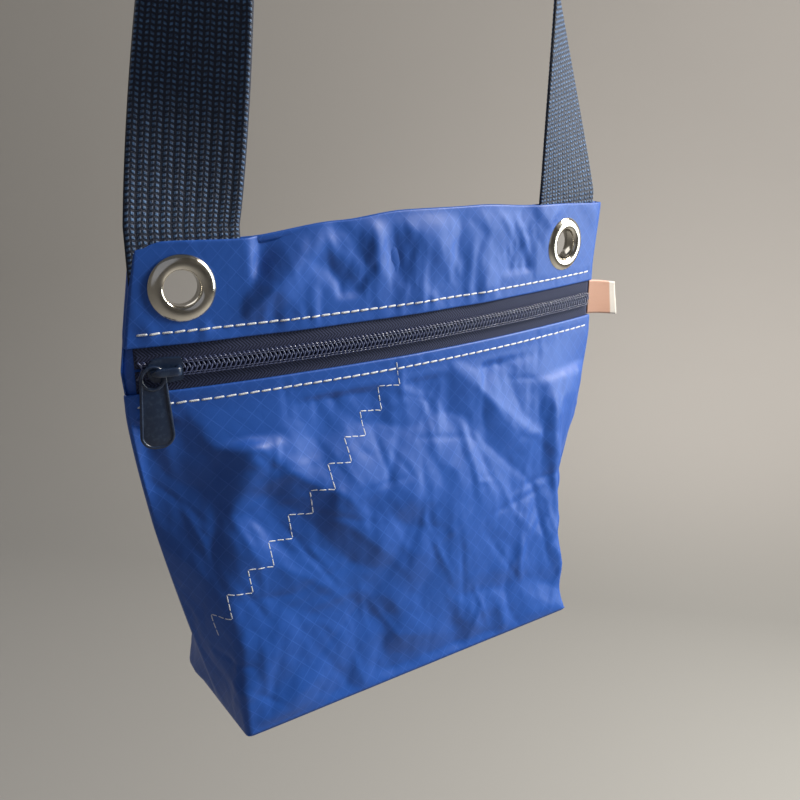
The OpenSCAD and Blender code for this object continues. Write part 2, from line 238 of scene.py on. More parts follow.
# One grid; placeAt(u, v) gives points in millimetres and a UV in metres. The UV layer comes first, because a
# new layer makes references to older geometry stale
def formGrid(bm, columns, rows, placeAt, closed=False, flip=False):
    layer = bm.loops.layers.uv.get("UVMap") or bm.loops.layers.uv.new("UVMap")
    made = bmesh.ops.create_grid(bm, x_segments=columns - 1, y_segments=rows - 1, size=0.5, calc_uvs=False)
    verts = made["verts"]
    flat = np.array([v.co[:2] for v in verts]) + 0.5
    points, uvs = placeAt(flat[:, 0], flat[:, 1])
    points = toFrame(points)
    places = {}
    for v, p, uv in zip(verts, points, uvs):
        v.co = p
        places[v] = uv
    faces = list({f for v in verts for f in v.link_faces})
    for face in faces:
        for loop in face.loops:
            loop[layer].uv = places[loop.vert]
    if flip:
        bmesh.ops.reverse_faces(bm, faces=faces)
    if closed:
        bmesh.ops.remove_doubles(bm, verts=verts, dist=1e-6)


# Point at length s along the zip line, out in front of it, at height z
def onArc(s, out, z):
    angle = s / zipRadius
    reach = zipRadius + out
    return np.c_[reach * np.sin(angle), zipAxisY - reach * np.cos(angle), z + 0 * s]


def arc(x):
    return np.sqrt(zipRadius ** 2 - x * x) - zipAxisY


# Place across the flat cloth as a distance from its middle line
def acrossX(q):
    return (q / girth * 2 - 1) * halfTop


def lens(q, bow, swell):
    edge = bag["edge"]
    s = np.clip(2 * (q - edge) / (girth - 2 * edge) - 1, -1, 1)
    wall = np.minimum(q, girth - q) / edge
    y = edge * np.minimum(1, wall) + np.where(wall < 1, 0, bow * arc(s * halfTop) + swell * (1 - s * s))
    return s * halfTop, y


def boxEnd(q):
    corner = bag["baseDepth"] / 2
    s = np.clip(2 * (q - corner) / bag["baseLength"] - 1, -1, 1)
    wall = np.minimum(1, np.minimum(q, girth - q) / corner)
    return s * bag["baseLength"] / 2, corner * wall


# Outline of one half of the bag: a lens above that becomes a box below, its upright corners rounded
def section(q, k, bow, swell):
    x, y = 0, 0
    spread = (-4, -2, 0, 2, 4)
    soft = np.minimum(1, np.minimum(q, girth - q) / 6) * (1 - 0.6 * k)
    for step in spread:
        boxX, boxY = boxEnd(np.clip(q + step * soft, 0, girth))
        x, y = x + boxX / len(spread), y + boxY / len(spread)
    lensX, lensY = lens(q, bow, swell)
    return lensX * (1 - k) + x * k, lensY * (1 - k) + y * k


# The bag hangs a little askew: top corners lean right, left seam bulges, base lies left and back
lean = {
    "leftZ": (0, 20, 41, 100, 182),
    "left": (4, 0, -3.5, -3, 0),
    "rightZ": (0, 25, 41, 182),
    "right": (2.5, 0, 0, 0),
    "base": (-2.5, 2.0),
}


# Share of the box shape, and the cloth's drift along X and Y
def openedShare(u):
    return np.clip(u, 0, 1) ** bag["openRate"]


def drift(q, z, share):
    s = 2 * q / girth - 1
    outer = ease((np.abs(s) - 0.5) / 0.5)
    left = np.interp(z, lean["leftZ"], lean["left"])
    sideways = np.where(s < 0, left, np.interp(z, lean["rightZ"], lean["right"]))
    return outer * sideways + lean["base"][0] * share, lean["base"][1] * share


# Point on one half of the bag, front or back, where its section has drifted to
def hung(q, z, share, bow, swell, side):
    x, y = section(q, share, bow, swell)
    moveX, moveY = drift(q, z, share)
    return np.c_[x + moveX, side * y + moveY, -z]


def frontBase(q, z):
    start = panelStart + bag["tapeTuck"] + 1
    u = np.clip((z - start) / (bag["height"] - start), 0, 1)
    swell = bag["frontSwell"] * np.sin(np.pi * u) + 2 * np.minimum(1, 3 * u)
    return hung(q, z, openedShare(u), 1, swell, -1)


def backBase(q, z):
    u = np.clip((z - bag["zipDown"]) / (bag["height"] - bag["zipDown"]), 0, 1)
    opening = ease((z - 24) / 26)
    swell = 4 * opening + (bag["backSwell"] - 4) * np.sin(np.pi * u)
    return hung(q, z, openedShare(u), opening - 1, swell, 1)


# Point on the cloth: the base surface moved out along its normal by the folds
def skin(base, relief, side, q, z, lift=0.0):
    step = 0.6
    along = base(np.clip(q + step, 0, girth), z) - base(np.clip(q - step, 0, girth), z)
    down = base(q, z + step) - base(q, z - step)
    return base(q, z) + unit(np.cross(along, down) * side) * (relief(q, z) + lift)[:, None]


# Ridges and valleys: each fold runs through (q, z) at an angle
def foldRelief(q, z, folds):
    total = np.zeros_like(q, dtype=float)
    for foldQ, foldZ, angle, length, width, height, sharp in folds:
        c, s = math.cos(math.radians(angle)), math.sin(math.radians(angle))
        t = ((q - foldQ) * c + (z - foldZ) * s) / length
        across = np.abs((z - foldZ) * c - (q - foldQ) * s) / width
        window = np.clip(1 - t * t, 0, 1) ** 1.5
        tent = np.clip(1 - across, 0, 1)
        total += height * window * (sharp * tent + (1 - sharp) * tent * tent * (3 - 2 * tent))
    return total


# Small creases scattered over a cloth, mostly along its leading directions
def crinkles(seed, count, low, high, angles, heights):
    draw = random.Random(seed)
    folds = []
    for _ in range(count):
        angle = draw.choice(angles) + draw.gauss(0, 16)
        length = draw.uniform(6, 28)
        height = draw.choice((-1, 1)) * draw.uniform(*heights) * (0.4 + length / 22)
        folds.append((draw.uniform(low[0], high[0]), draw.uniform(low[1], high[1]), angle,
                      length, draw.uniform(1.4, 3.2), height, 1))
    return folds


# Flat facets between crisp creases: random heights on a skewed, bent triangle lattice
def facets(q, z, seed, size, height, angle, stretch=1.6):
    draw = random.Random(seed)
    table = np.array([[draw.uniform(-1, 1) for _ in range(64)] for _ in range(64)])
    shift = [draw.uniform(0, 9) for _ in range(4)]
    c, s = math.cos(math.radians(angle)), math.sin(math.radians(angle))
    along, across = (q * c + z * s) / (size * stretch), (z * c - q * s) / size
    a = along + 20 + 0.34 * np.sin(across * 1.9 + shift[0]) + 0.16 * np.sin(across * 4.3 + shift[1])
    b = across + 20 + 0.36 * np.sin(along * 2.1 + shift[2]) + 0.14 * np.sin(along * 5.1 + shift[3])
    i, j = np.floor(a).astype(int), np.floor(b).astype(int)
    fa, fb = a - i, b - j
    p00, p01, p10, p11 = (table[(i + di) % 64, (j + dj) % 64] for di in (0, 1) for dj in (0, 1))
    low = p00 + fa * (p10 - p00) + fb * (p01 - p00)
    high = p11 + (1 - fa) * (p01 - p11) + (1 - fb) * (p10 - p11)
    return height * np.where(fa + fb < 1, low, high)


# Slow uneven swell of a slack cloth
def waves(q, z, seed, scale, height):
    draw = random.Random(seed)
    total = np.zeros_like(q, dtype=float)
    for _ in range(7):
        angle, size = draw.uniform(0, math.tau), scale * draw.uniform(0.6, 1.6)
        along = q * math.cos(angle) + z * math.sin(angle)
        total += np.sin(along * math.tau / size + draw.uniform(0, math.tau))
    return total * height / 7


# How far back down the cloth, and how far in, a point past a turned edge lies
def turnedEdge(past):
    fold = sailcloth["fold"]
    turn = np.minimum(math.pi, past / fold)
    tail = np.maximum(0, past - math.pi * fold)
    return tail - fold * np.sin(turn), fold * (1 - np.cos(turn))


def atSteps(values, share):
    return np.array(values)[stepOf(share, len(values))]


# A sheet of cloth with a turned edge at its first row
def clothPiece(name, base, relief, side, rows, depth, material):
    bm = bmesh.new()
    columns = clothColumns(sailcloth["step"])

    def placeAt(u, v):
        q, length = atSteps(columns, u), atSteps(rows, v)
        back, inward = turnedEdge(np.maximum(0, -length))
        reach = length * (bag["height"] - depth(q)) / rows[-1]
        z = depth(q) + np.where(length > 0, reach, back)
        return skin(base, relief, side, q, z, -inward), np.c_[q * mm, -z * mm]

    formGrid(bm, len(columns), len(rows), placeAt, flip=side > 0)
    piece = finishPiece(f"{name}_cloth", bm, material, "bag", [name])
    thicken(piece, sailcloth["thick"])
    return piece


# Ripstop nylon sailcloth: a thin coated plain weave, satin, with a grid of thicker threads on the bias
sailcloth = {
    "color": "#1a5aba",
    "deep": "#164da6",
    "gridColor": "#3a6fd2",
    "gridMm": 4.8,
    "lineMm": 0.28,
    "weaveMm": 0.5,     # real threads are too fine to show
    "roughness": 0.48,
    "crumpleMm": 9,
    "thick": 0.35,
    "yokeThick": 0.3,
    "fold": 0.3,
    "hem": 2,
    "step": 1.15,
    "backStep": 1.3,
}


def makeSailcloth():
    material, tree, shader = newMaterial("coated_ripstop_nylon", Roughness=sailcloth["roughness"], IOR=1.53)
    uv = addNode(tree, "UVMap", uv_map="UVMap")
    values = {"Scale": (1000, 1000, 1000), "Rotation": (0, 0, math.radians(45))}
    inMm = addNode(tree, "Mapping", {"Vector": uv}, values)
    axes = addNode(tree, "SeparateXYZ", {"Vector": inMm}).outputs
    lines = []
    for axis in ("X", "Y"):
        away = addNode(tree, "Math", {0: axes[axis]}, {1: sailcloth["gridMm"] / 2}, operation="PINGPONG")
        values = {"From Min": 0, "From Max": sailcloth["lineMm"], "To Min": 1, "To Max": 0}
        lines.append(addNode(tree, "MapRange", {"Value": away}, values, interpolation_type="SMOOTHSTEP"))
    grid = addNode(tree, "Math", {0: lines[0], 1: lines[1]}, operation="MAXIMUM")
    patchy = addNode(tree, "TexNoise", {"Vector": inMm}, {"Scale": 0.06, "Detail": 3})
    faint = addNode(tree, "Math", {0: patchy}, {1: 0.75}, operation="MULTIPLY")
    seen = addNode(tree, "Math", {0: grid, 1: faint}, operation="MULTIPLY")
    cloudy = addNode(tree, "TexNoise", {"Vector": inMm}, {"Scale": 0.025, "Detail": 4})
    colors = {6: hexColor(sailcloth["color"]), 7: hexColor(sailcloth["deep"])}
    base = addNode(tree, "Mix", {0: cloudy}, colors, data_type="RGBA")
    gridColor = {7: hexColor(sailcloth["gridColor"])}
    color = addNode(tree, "Mix", {0: seen, 6: base.outputs[2]}, gridColor, data_type="RGBA")
    weave = addNode(tree, "TexNoise", {"Vector": inMm}, {"Scale": 1 / sailcloth["weaveMm"], "Detail": 1})
    heights = addNode(tree, "Math", {0: grid, 1: weave}, operation="ADD")
    fine = addNode(tree, "Bump", {"Height": heights}, {"Strength": 0.25, "Distance": 0.06 * mm})
    values = {"Scale": 1 / sailcloth["crumpleMm"], "Randomness": 1}
    crumple = addNode(tree, "TexVoronoi", {"Vector": inMm}, values, feature="DISTANCE_TO_EDGE")
    soft = addNode(tree, "Math", {0: crumple}, {1: 0.25}, operation="MINIMUM")
    values = {"Strength": 0.35, "Distance": 0.5 * mm}
    bump = addNode(tree, "Bump", {"Height": soft, "Normal": fine}, values)
    tree.links.new(color.outputs[2], shader.inputs["Base Color"])
    tree.links.new(bump.outputs[0], shader.inputs["Normal"])
    return material


topPoints = [(-106, -1.5), (-95, 1), (-68, 0.4), (-30, 4), (-4, 6), (30, 5.4), (68, 3), (106, 1.2)]


# Height of the top edge above the mean, a low arch over the inner edges of the strap
def topRise(x):
    places, heights = zip(*topPoints)
    steps = np.arange(len(places))
    u = np.interp(x, places, steps)
    return np.interp(np.floor(u) + ease(u - np.floor(u)), steps, heights)


yoke = {
    "folds": [   # q, z, angle, half length, half width, height, sharpness
        (40, 12, 138, 20, 10, -2.6, 0.6), (56, 12, 140, 26, 8, 3.0, 0.9),
        (101, 8, 80, 15, 6, -1.7, 0.9), (92, 8, 84, 15, 6, 1.9, 0.9),
        (168, 12, 62, 17, 2.8, 0.8, 0.9), (158, 18, 80, 11, 2.6, -0.6, 0.9),
        (122, 12, 64, 16, 7, 0.9, 0.6), (75, 14, 50, 14, 6, -0.9, 0.5),
        (137, 16, 100, 13, 3.2, 0.6, 0.9),
    ],
    "crinkles": crinkles(11, 90, (12, 2), (girth - 12, 30), (80, 100, 60, 130), (0.1, 0.3)),
    "waves": (5, 60, 0.7),
    "facets": ((301, 19, 1.3, 70), (306, 8, 0.28, 100)),
}
frontPanel = {
    "folds": [
        (36, 69, 63, 17, 12, 2.6, 0.9), (35, 88, 124, 15, 11, 2.5, 0.9),
        (34, 106, 65, 15, 11, 2.5, 0.9), (58, 128, 34, 32, 12, 2.3, 0.9),
        (47, 172, 158, 21, 8, 1.4, 0.8), (22, 162, 30, 9, 5, 0.6, 0.8),
        (135, 98, 78, 24, 3.2, 0.8, 1.0), (95, 90, 115, 15, 3.2, -0.8, 1.0),
        (166, 142, 133, 19, 3.5, 0.9, 1.0), (142, 158, 9, 27, 9, -1.3, 0.6),
        (178, 166, 30, 22, 8, -1.0, 0.6), (189, 158, 66, 26, 6, 1.1, 0.8),
        (63, 78, 126, 18, 9, -1.2, 0.5), (104, 132, 116, 24, 10, 1.2, 0.6),
        (96, 113, 33, 31, 9, -1.1, 0.6), (105, 166, 19, 37, 9, 1.0, 0.6),
        (120, 74, 100, 20, 5, 0.9, 0.8), (185, 90, 82, 34, 7, 1.2, 0.7),
    ],
    "crinkles": crinkles(23, 190, (6, 55), (girth - 6, 178), (100, 120, 75, 60, 10), (0.1, 0.34)),
    "waves": (8, 90, 1.4),
    "facets": ((302, 30, 3.0, 68), (303, 14, 0.9, 110), (307, 7, 0.2, 80)),
}
backPanel = {
    "folds": [
        (60, 70, 60, 50, 18, 1.6, 0.3), (110, 110, 120, 50, 16, -1.5, 0.3),
        (160, 90, 80, 45, 14, 1.4, 0.4), (100, 30, 10, 60, 12, -1.2, 0.2),
        (80, 160, 175, 50, 10, 1.0, 0.4),
    ],
    "crinkles": crinkles(37, 170, (6, 8), (girth - 6, 178), (100, 120, 75, 60, 10), (0.1, 0.34)),
    "waves": (3, 90, 1.4),
    "facets": ((304, 30, 3.0, 75), (305, 14, 0.75, 115)),
}


def seamMask(q):
    return ease(np.minimum(q, girth - q) / 5)


# Place of an eyelet along the zip line, the same length from the middle of the cloth
def eyeletX(side):
    return side * bag["strapX"] - bag["eyeletShift"]


# Over webbing or tape the cloth can stand out but can't sink in
def keepOut(total, zone, least):
    return total * (1 - zone) + np.maximum(total, least) * zone


# Under the pull tab's sweep the folds stay low
def underPull(z, total):
    over = total - 0.15
    low = 0.15 + np.where(over > 0, 0.2 * np.tanh(over / 0.6), over)
    zone = ease((74 - z) / 5)
    return total * (1 - zone) + low * zone


def strapZone(q, z):
    return ease((np.abs(acrossX(q)) - 60) / 5) * ease((32 - z) / 4)


# The cloth is pressed flat under an eyelet's flange
def eyeletCalm(q, z):
    calm = 1.0
    for side in (-1, 1):
        far = np.hypot(q - girth / 2 * (1 + eyeletX(side) / halfTop), z - bag["eyeletDown"])
        calm = calm * ease((far - 11.5) / 7)
    return calm


# Gathers beside a row of stitches, strongest at the thread
def puckers(q, z, row, seed):
    phase = 0.9 * np.sin(q / 17 + seed) + 0.7 * np.sin(q / 7.3 + 2 * seed)
    gathers = np.sin(q * math.tau / 8.5 + phase * 2) + 0.5 * np.sin(q * math.tau / 5.1 + phase * 3)
    return 0.3 * gathers * np.exp(-np.abs(z - row) / 6)


# Between the straps the front and back cloths come together at the top
def closingRelief(q, z):
    between = ease((67 - np.abs(acrossX(q))) / 8)
    return -1.1 * between * ease(1 - (z + topRise(acrossX(q))) / 9)


# The cloth is drawn in along a row of stitches
def stitchDip(q, z, row):
    return -0.22 * np.exp(-((z - row) / 0.8) ** 2) * seamMask(q)


def crumpled(q, z, cloth):
    total = foldRelief(q, z, cloth["folds"] + cloth["crinkles"]) + waves(q, z, *cloth["waves"])
    for values in cloth["facets"]:
        total += facets(q, z, *values)
    return total


def yokeRelief(q, z):
    fade = seamMask(q) * eyeletCalm(q, z) * ease((z + 7) / 8) * (0.35 + 0.65 * ease((yokeEnd - z) / 6))
    row = yokeEnd - thread["inset"]
    total = crumpled(q, z, yoke) + puckers(q, z, row, 1.0)
    total = keepOut(total * fade, strapZone(q, z), 0.0) + closingRelief(q, z) + stitchDip(q, z, row)
    return keepOut(total, ease((z - yokeEnd + 11) / 3), -0.22)


def frontRelief(q, z):
    fade = seamMask(q) * (0.25 + 0.75 * ease((z - panelStart) / 9)) * ease((bag["height"] - z) / 5)
    row = panelStart + thread["inset"]
    total = underPull(z, (crumpled(q, z, frontPanel) + puckers(q, z, row, 2.0)) * fade) + stitchDip(q, z, row)
    return keepOut(total, ease((panelStart + 11 - z) / 3), -0.22)


def backRelief(q, z):
    fade = seamMask(q) * eyeletCalm(q, z) * ease((z + 4) / 12) * ease((bag["height"] - z) / 5)
    return keepOut(crumpled(q, z, backPanel) * fade, strapZone(q, z), 0.0) + closingRelief(q, z)


def clothColumns(step):
    inner = np.linspace(3, girth - 3, round((girth - 6) / step))
    return [0, 0.5, 1, 1.6, 2.2] + list(inner) + [girth - p for p in (2.2, 1.6, 1, 0.5, 0)]


def hemRows():
    turn, tail = -math.pi * sailcloth["fold"], sailcloth["hem"]
    return [turn - tail, turn - tail / 2] + [turn * i / 6 for i in range(6, 0, -1)] + [0.001, 0.5]


def panelRows(length, step):
    return hemRows() + list(np.linspace(1.2, length, round(length / step)))


def topDepth(q):
    return -topRise(acrossX(q))


def panelDepth(q):
    return panelStart + 0 * q


# The yoke is a sheet turned at both its edges
def makeYoke(material):
    bm = bmesh.new()
    columns, hem = clothColumns(sailcloth["step"]), np.array(hemRows())
    rows = 2 * len(hem) + 24

    def placeAt(u, v):
        q = atSteps(columns, u)
        index = stepOf(v, rows)
        top, low = index < len(hem), index >= rows - len(hem)
        length = hem[np.clip(np.where(top, index, rows - 1 - index), 0, len(hem) - 1)]
        back, inward = turnedEdge(np.where(top | low, np.maximum(0, -length), 0))
        reach = np.where(length > 0, length, back)
        middle = (index - len(hem) + 1) / (rows - 2 * len(hem) + 1)
        full = yokeEnd - topDepth(q)
        z = np.where(top, topDepth(q) + reach,
                     np.where(low, yokeEnd - reach, topDepth(q) + 0.5 + middle * (full - 1)))
        return skin(frontBase, yokeRelief, -1, q, z, -inward), np.c_[q * mm, -z * mm]

    formGrid(bm, len(columns), rows, placeAt)
    front = finishPiece("front_yoke_cloth", bm, material, "bag", ["front_yoke"])
    cutEyeletHoles(front)
    thicken(front, sailcloth["yokeThick"])
    return front


def makeCloth(material):
    front = makeYoke(material)
    rows = panelRows(bag["height"] - panelStart, sailcloth["step"])
    panel = clothPiece("front_panel", frontBase, frontRelief, -1, rows, panelDepth, material)
    rows = panelRows(bag["height"], sailcloth["backStep"])
    back = clothPiece("back_panel", backBase, backRelief, 1, rows, topDepth, material)
    cutEyeletHoles(back)
    return front, panel, back


# Faces of a layer that lie inside an eyelet's barrel are taken out
def cutEyeletHoles(piece):
    bm = bmesh.new()
    bm.from_mesh(piece.data)
    for side in (-1, 1):
        along, down = np.array([eyeletX(side)]), np.array([-bag["eyeletDown"]])
        centre, ahead = (Vector(toFrame(onArc(along, out, down))[0]) for out in (0, 1))
        axis = (ahead - centre).normalized()
        inside = []
        for face in bm.faces:
            away = face.calc_center_median() - centre
            depth = away.dot(axis)
            if abs(depth) < 8 * mm and (away - axis * depth).length < 7.3 * mm:
                inside.append(face)
        bmesh.ops.delete(bm, geom=inside, context="FACES")
    bm.to_mesh(piece.data)
    bm.free()


# Base of the bag: one sheet between the lower edges of the two panels
def makeBase(material):
    bm = bmesh.new()
    half, depth = bag["baseLength"] / 2, bag["baseDepth"] / 2

    def placeAt(u, v):
        x, y = (2 * u - 1) * half, (2 * v - 1) * depth
        crown = (1 - (2 * u - 1) ** 2) * (1 - (2 * v - 1) ** 2)
        z = -bag["height"] + 0.3 + 1.5 * crown + 0.5 * np.sin(x / 9) * crown
        return np.c_[x + lean["base"][0], y + lean["base"][1], z], np.c_[x, y] * mm

    formGrid(bm, 90, 32, placeAt, flip=True)
    piece = finishPiece("base_cloth", bm, material, "bag")
    thicken(piece, sailcloth["thick"])
    return piece


# Polypropylene webbing: ten ribs of paired slanted yarns, matt, with filament glints painted into its colour
# as painted highlights
webbing = {
    "color": "#101d36",
    "paintedGlint": "#5b83b6",
    "width": 38,
    "thick": 1.8,
    "ribs": 10,
    "ribHeight": 0.35,
    "ribSteps": 4,
    "yarnMm": 1.7,
    "hookRadius": 35,
    "twistLength": 240,
    "bendHeight": 6,
    "tuck": 24,
}


def makeWebbing():
    material, tree, shader = newMaterial("woven_polypropylene_webbing", Roughness=0.55, IOR=1.49)
    uv = addNode(tree, "UVMap", uv_map="UVMap")
    inMm = addNode(tree, "Mapping", {"Vector": uv}, {"Scale": (1000, 1000, 1000)})
    axes = addNode(tree, "SeparateXYZ", {"Vector": inMm}).outputs
    ribMm = webbing["width"] / webbing["ribs"]
    grooveAway = addNode(tree, "Math", {0: axes["X"]}, {1: ribMm / 2}, operation="PINGPONG")
    yarnAway = addNode(tree, "Math", {0: axes["X"]}, {1: ribMm / 4}, operation="PINGPONG")
    slant = addNode(tree, "Math", {0: grooveAway}, {1: 0.3}, operation="MULTIPLY")
    shifted = addNode(tree, "Math", {0: axes["Y"], 1: slant}, operation="ADD")
    endAway = addNode(tree, "Math", {0: shifted}, {1: webbing["yarnMm"] / 2}, operation="PINGPONG")
    shares = []
    for away, low, high in ((grooveAway, 0.2, 0.7), (yarnAway, 0.15, 0.6), (endAway, 0.25, 0.6)):
        values = {"From Min": low, "From Max": high}
        shares.append(addNode(tree, "MapRange", {"Value": away}, values, interpolation_type="SMOOTHSTEP"))
    pair = addNode(tree, "Math", {0: shares[0], 1: shares[1]}, operation="MULTIPLY")
    bright = addNode(tree, "Math", {0: pair, 1: shares[2]}, operation="MULTIPLY")
    uneven = addNode(tree, "TexNoise", {"Vector": inMm}, {"Scale": 0.8, "Detail": 2})
    values = {"From Min": 0.35, "From Max": 0.65, "To Min": 0.2, "To Max": 1}
    strength = addNode(tree, "MapRange", {"Value": uneven}, values)
    # Painted highlight: the yarn-top mask, made uneven by noise, mixes the glint colour into the base colour;
    # the same mask also raises the bump
    lit = addNode(tree, "Math", {0: bright, 1: strength}, operation="MULTIPLY")
    colors = {6: hexColor(webbing["color"]), 7: hexColor(webbing["paintedGlint"])}
    color = addNode(tree, "Mix", {0: lit}, colors, data_type="RGBA")
    filament = addNode(tree, "TexNoise", {"Vector": inMm}, {"Scale": 3.0, "Detail": 2})
    height = addNode(tree, "Math", {0: filament, 1: bright}, operation="ADD")
    bump = addNode(tree, "Bump", {"Height": height}, {"Strength": 0.8, "Distance": 0.35 * mm})
    tree.links.new(color.outputs[2], shader.inputs["Base Color"])
    tree.links.new(bump.outputs[0], shader.inputs["Normal"])
    return material


# Middle, width and face directions of the webbing along its length
def strapStations(step):
    drop = -topEdge / mm
    strapX = bag["strapX"]
    middle = webbing["hookRadius"] + webbing["thick"] / 2
    centreZ = -middle + webbing["thick"] / 2
    footZ = -drop + webbing["bendHeight"]
    dz = centreZ - footZ
    leanAngle = math.atan(strapX / dz) - math.asin(middle / math.hypot(strapX, dz))
    legLength = math.sqrt(strapX ** 2 + dz * dz - middle * middle)
    footTurn = math.asin(strapX / zipRadius)
    footY = -float(arc(strapX))
    half = []
    hidden = webbing["tuck"] + webbing["bendHeight"]
    for i in range(round(hidden / step), 0, -1):
        place = Vector((strapX, footY, footZ - i * step))
        half.append((place, footTurn, leanAngle * float(ease((9 - i * step) / 24))))
    for i in range(round(legLength / step)):
        length = i * step
        turnShare = 1 - max(0, 1 - length / webbing["twistLength"]) ** 1.5
        place = Vector((strapX - length * math.sin(leanAngle), footY * (1 - length / legLength),
                        footZ + length * math.cos(leanAngle)))
        turn = footTurn + (math.pi / 2 - footTurn) * turnShare
        half.append((place, turn, leanAngle * float(ease((9 + length) / 24))))
    archSteps = round((math.pi / 2 - leanAngle) * middle / step)
    for i in range(archSteps + 1):
        angle = leanAngle + (math.pi / 2 - leanAngle) * i / archSteps
        place = Vector((middle * math.cos(angle), 0, centreZ + middle * math.sin(angle)))
        half.append((place, math.pi / 2, angle))
    mirrored = [(Vector((-p.x, p.y, p.z)), t, math.pi - a) for p, t, a in reversed(half[:-1])]
    stations = []
    for place, twist, angle in half + mirrored:
        out = Vector((math.cos(angle), 0, math.sin(angle)))
        wide = out * math.cos(twist) + Vector((0, math.sin(twist), 0))
        face = Vector((0, math.cos(twist), 0)) - out * math.sin(twist)
        stations.append((place, wide, face))
    return stations


def makeStrap(material):
    stations = strapStations(webbing["yarnMm"] / 2)
    middles, wides, faces = (np.array([s[i][:] for s in stations]) for i in range(3))
    width, thick = webbing["width"], webbing["thick"]
    ribMm = width / webbing["ribs"]
    across = webbing["ribs"] * webbing["ribSteps"]
    flat = [(width * (0.5 - i / across), 1) for i in range(across + 1)]
    outline = flat + [(-x, -1) for x, _ in flat] + [flat[0]]
    sideWays, sideFace = np.array(outline).T

    def placeAt(u, v):
        column, row = stepOf(u, len(outline)), stepOf(v, len(stations))
        x, up = sideWays[column], sideFace[column]
        rib = np.abs(np.sin(np.pi * (x + width / 2) / ribMm)) ** 0.7
        yarn = np.where(row % 2 == 0, 1.0, 0.72)
        half = thick / 2 - webbing["ribHeight"] * (1 - rib * yarn)
        end = ease((width / 2 - np.abs(x)) / 0.6 + 0.35)
        point = middles[row] + wides[row] * x[:, None] + faces[row] * (up * half * end)[:, None]
        point[:, 2] -= topEdge / mm
        return point, np.c_[(x + width / 2) * mm, row * webbing["yarnMm"] / 2 * mm]

    bm = bmesh.new()
    formGrid(bm, len(outline), len(stations), placeAt, closed=True)
    bmesh.ops.holes_fill(bm, edges=[e for e in bm.edges if e.is_boundary])
    faceOut(bm)
    replaced = ["strap_loop", "left_strap_end", "right_strap_end"]
    piece = finishPiece("webbing_strap", bm, material, None, replaced)
    cutEyeletHoles(piece)
    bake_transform(piece)
    return piece


# Zip tape: polyester herringbone, nearly black, with a soft twill relief
zipTape = {"color": "#1a1f34", "light": "#515a82", "twillMm": 1.25, "boneMm": 2.6, "thick": 0.55,
           "leftMore": 0.9}


def makeTapeMaterial():
    material, tree, shader = newMaterial("woven_polyester_tape", Roughness=0.75, IOR=1.5,
                                         Specular_IOR_Level=0.3)
    uv = addNode(tree, "UVMap", uv_map="UVMap")
    inMm = addNode(tree, "Mapping", {"Vector": uv}, {"Scale": (1000, 1000, 1000)})
    axes = addNode(tree, "SeparateXYZ", {"Vector": inMm}).outputs
    bone = addNode(tree, "Math", {0: axes["Y"]}, {1: zipTape["boneMm"]}, operation="PINGPONG")
    slant = addNode(tree, "Math", {0: axes["X"], 1: bone}, operation="ADD")
    half = zipTape["twillMm"] / 2
    twill = addNode(tree, "Math", {0: slant}, {1: half}, operation="PINGPONG")
    values = {"From Min": 0, "From Max": half}
    share = addNode(tree, "MapRange", {"Value": twill}, values, interpolation_type="SMOOTHSTEP")
    uneven = addNode(tree, "TexNoise", {"Vector": inMm}, {"Scale": 2.2, "Detail": 2})
    mixed = addNode(tree, "Math", {0: share, 1: uneven}, operation="MULTIPLY")
    colors = {6: hexColor(zipTape["color"]), 7: hexColor(zipTape["light"])}
    color = addNode(tree, "Mix", {0: mixed}, colors, data_type="RGBA")
    bump = addNode(tree, "Bump", {"Height": mixed}, {"Strength": 0.6, "Distance": 0.15 * mm})
    tree.links.new(color.outputs[2], shader.inputs["Base Color"])
    tree.links.new(bump.outputs[0], shader.inputs["Normal"])
    return material


def makeTape(name, side, material):
    bm = bmesh.new()
    end = halfTop - 0.8
    heights = (0.5, bag["tapeShow"] / 2 + bag["tapeTuck"])

    def placeAt(u, v):
        s = -end - zipTape["leftMore"] + u * (2 * end + zipTape["leftMore"])
        away = heights[0] + (heights[1] - heights[0]) * v
        z = -bag["zipDown"] + side * away
        out = bag["tapeOut"] + 0.12 * np.sin(s / 7 + side) * ease((away - 4) / 4) * ease((7.5 - away) / 2)
        return onArc(s, out, z), np.c_[s, z] * mm

    formGrid(bm, 170, 16, placeAt, flip=side < 0)
    piece = finishPiece(f"{name}_cloth", bm, material, "bag", [name])
    thicken(piece, zipTape["thick"])
    return piece


# Lays a round thread along the points; ups give the outward direction at each
def tube(bm, points, ups, radius, sides):
    points, ups = np.array(points), np.array(ups)
    ahead = unit(np.gradient(points, axis=0))
    sideways = unit(np.cross(ahead, ups))
    over = np.cross(sideways, ahead)
    radii = np.broadcast_to(np.asarray(radius, float), (len(points),))
    reach = np.concatenate([[0], np.cumsum(np.linalg.norm(np.diff(points, axis=0), axis=1))])

    def placeAt(u, v):
        row = stepOf(u, len(points))
        angle = (stepOf(v, sides + 1) * math.tau / sides)[:, None]
        around = sideways[row] * np.cos(angle) + over[row] * np.sin(angle)
        uv = np.c_[reach[row], v * math.tau * radii.max()] * mm
        return points[row] + radii[row][:, None] * around, uv

    formGrid(bm, len(points), sides + 1, placeAt, closed=True)


# Nylon coil: one bent monofilament a side, its heads hooked into the other side
zipCoil = {"pitch": 1.7, "wire": 0.36, "stepsPerTurn": 16, "slant": 0.6,
           "color": "#343c5c", "light": "#626c94"}


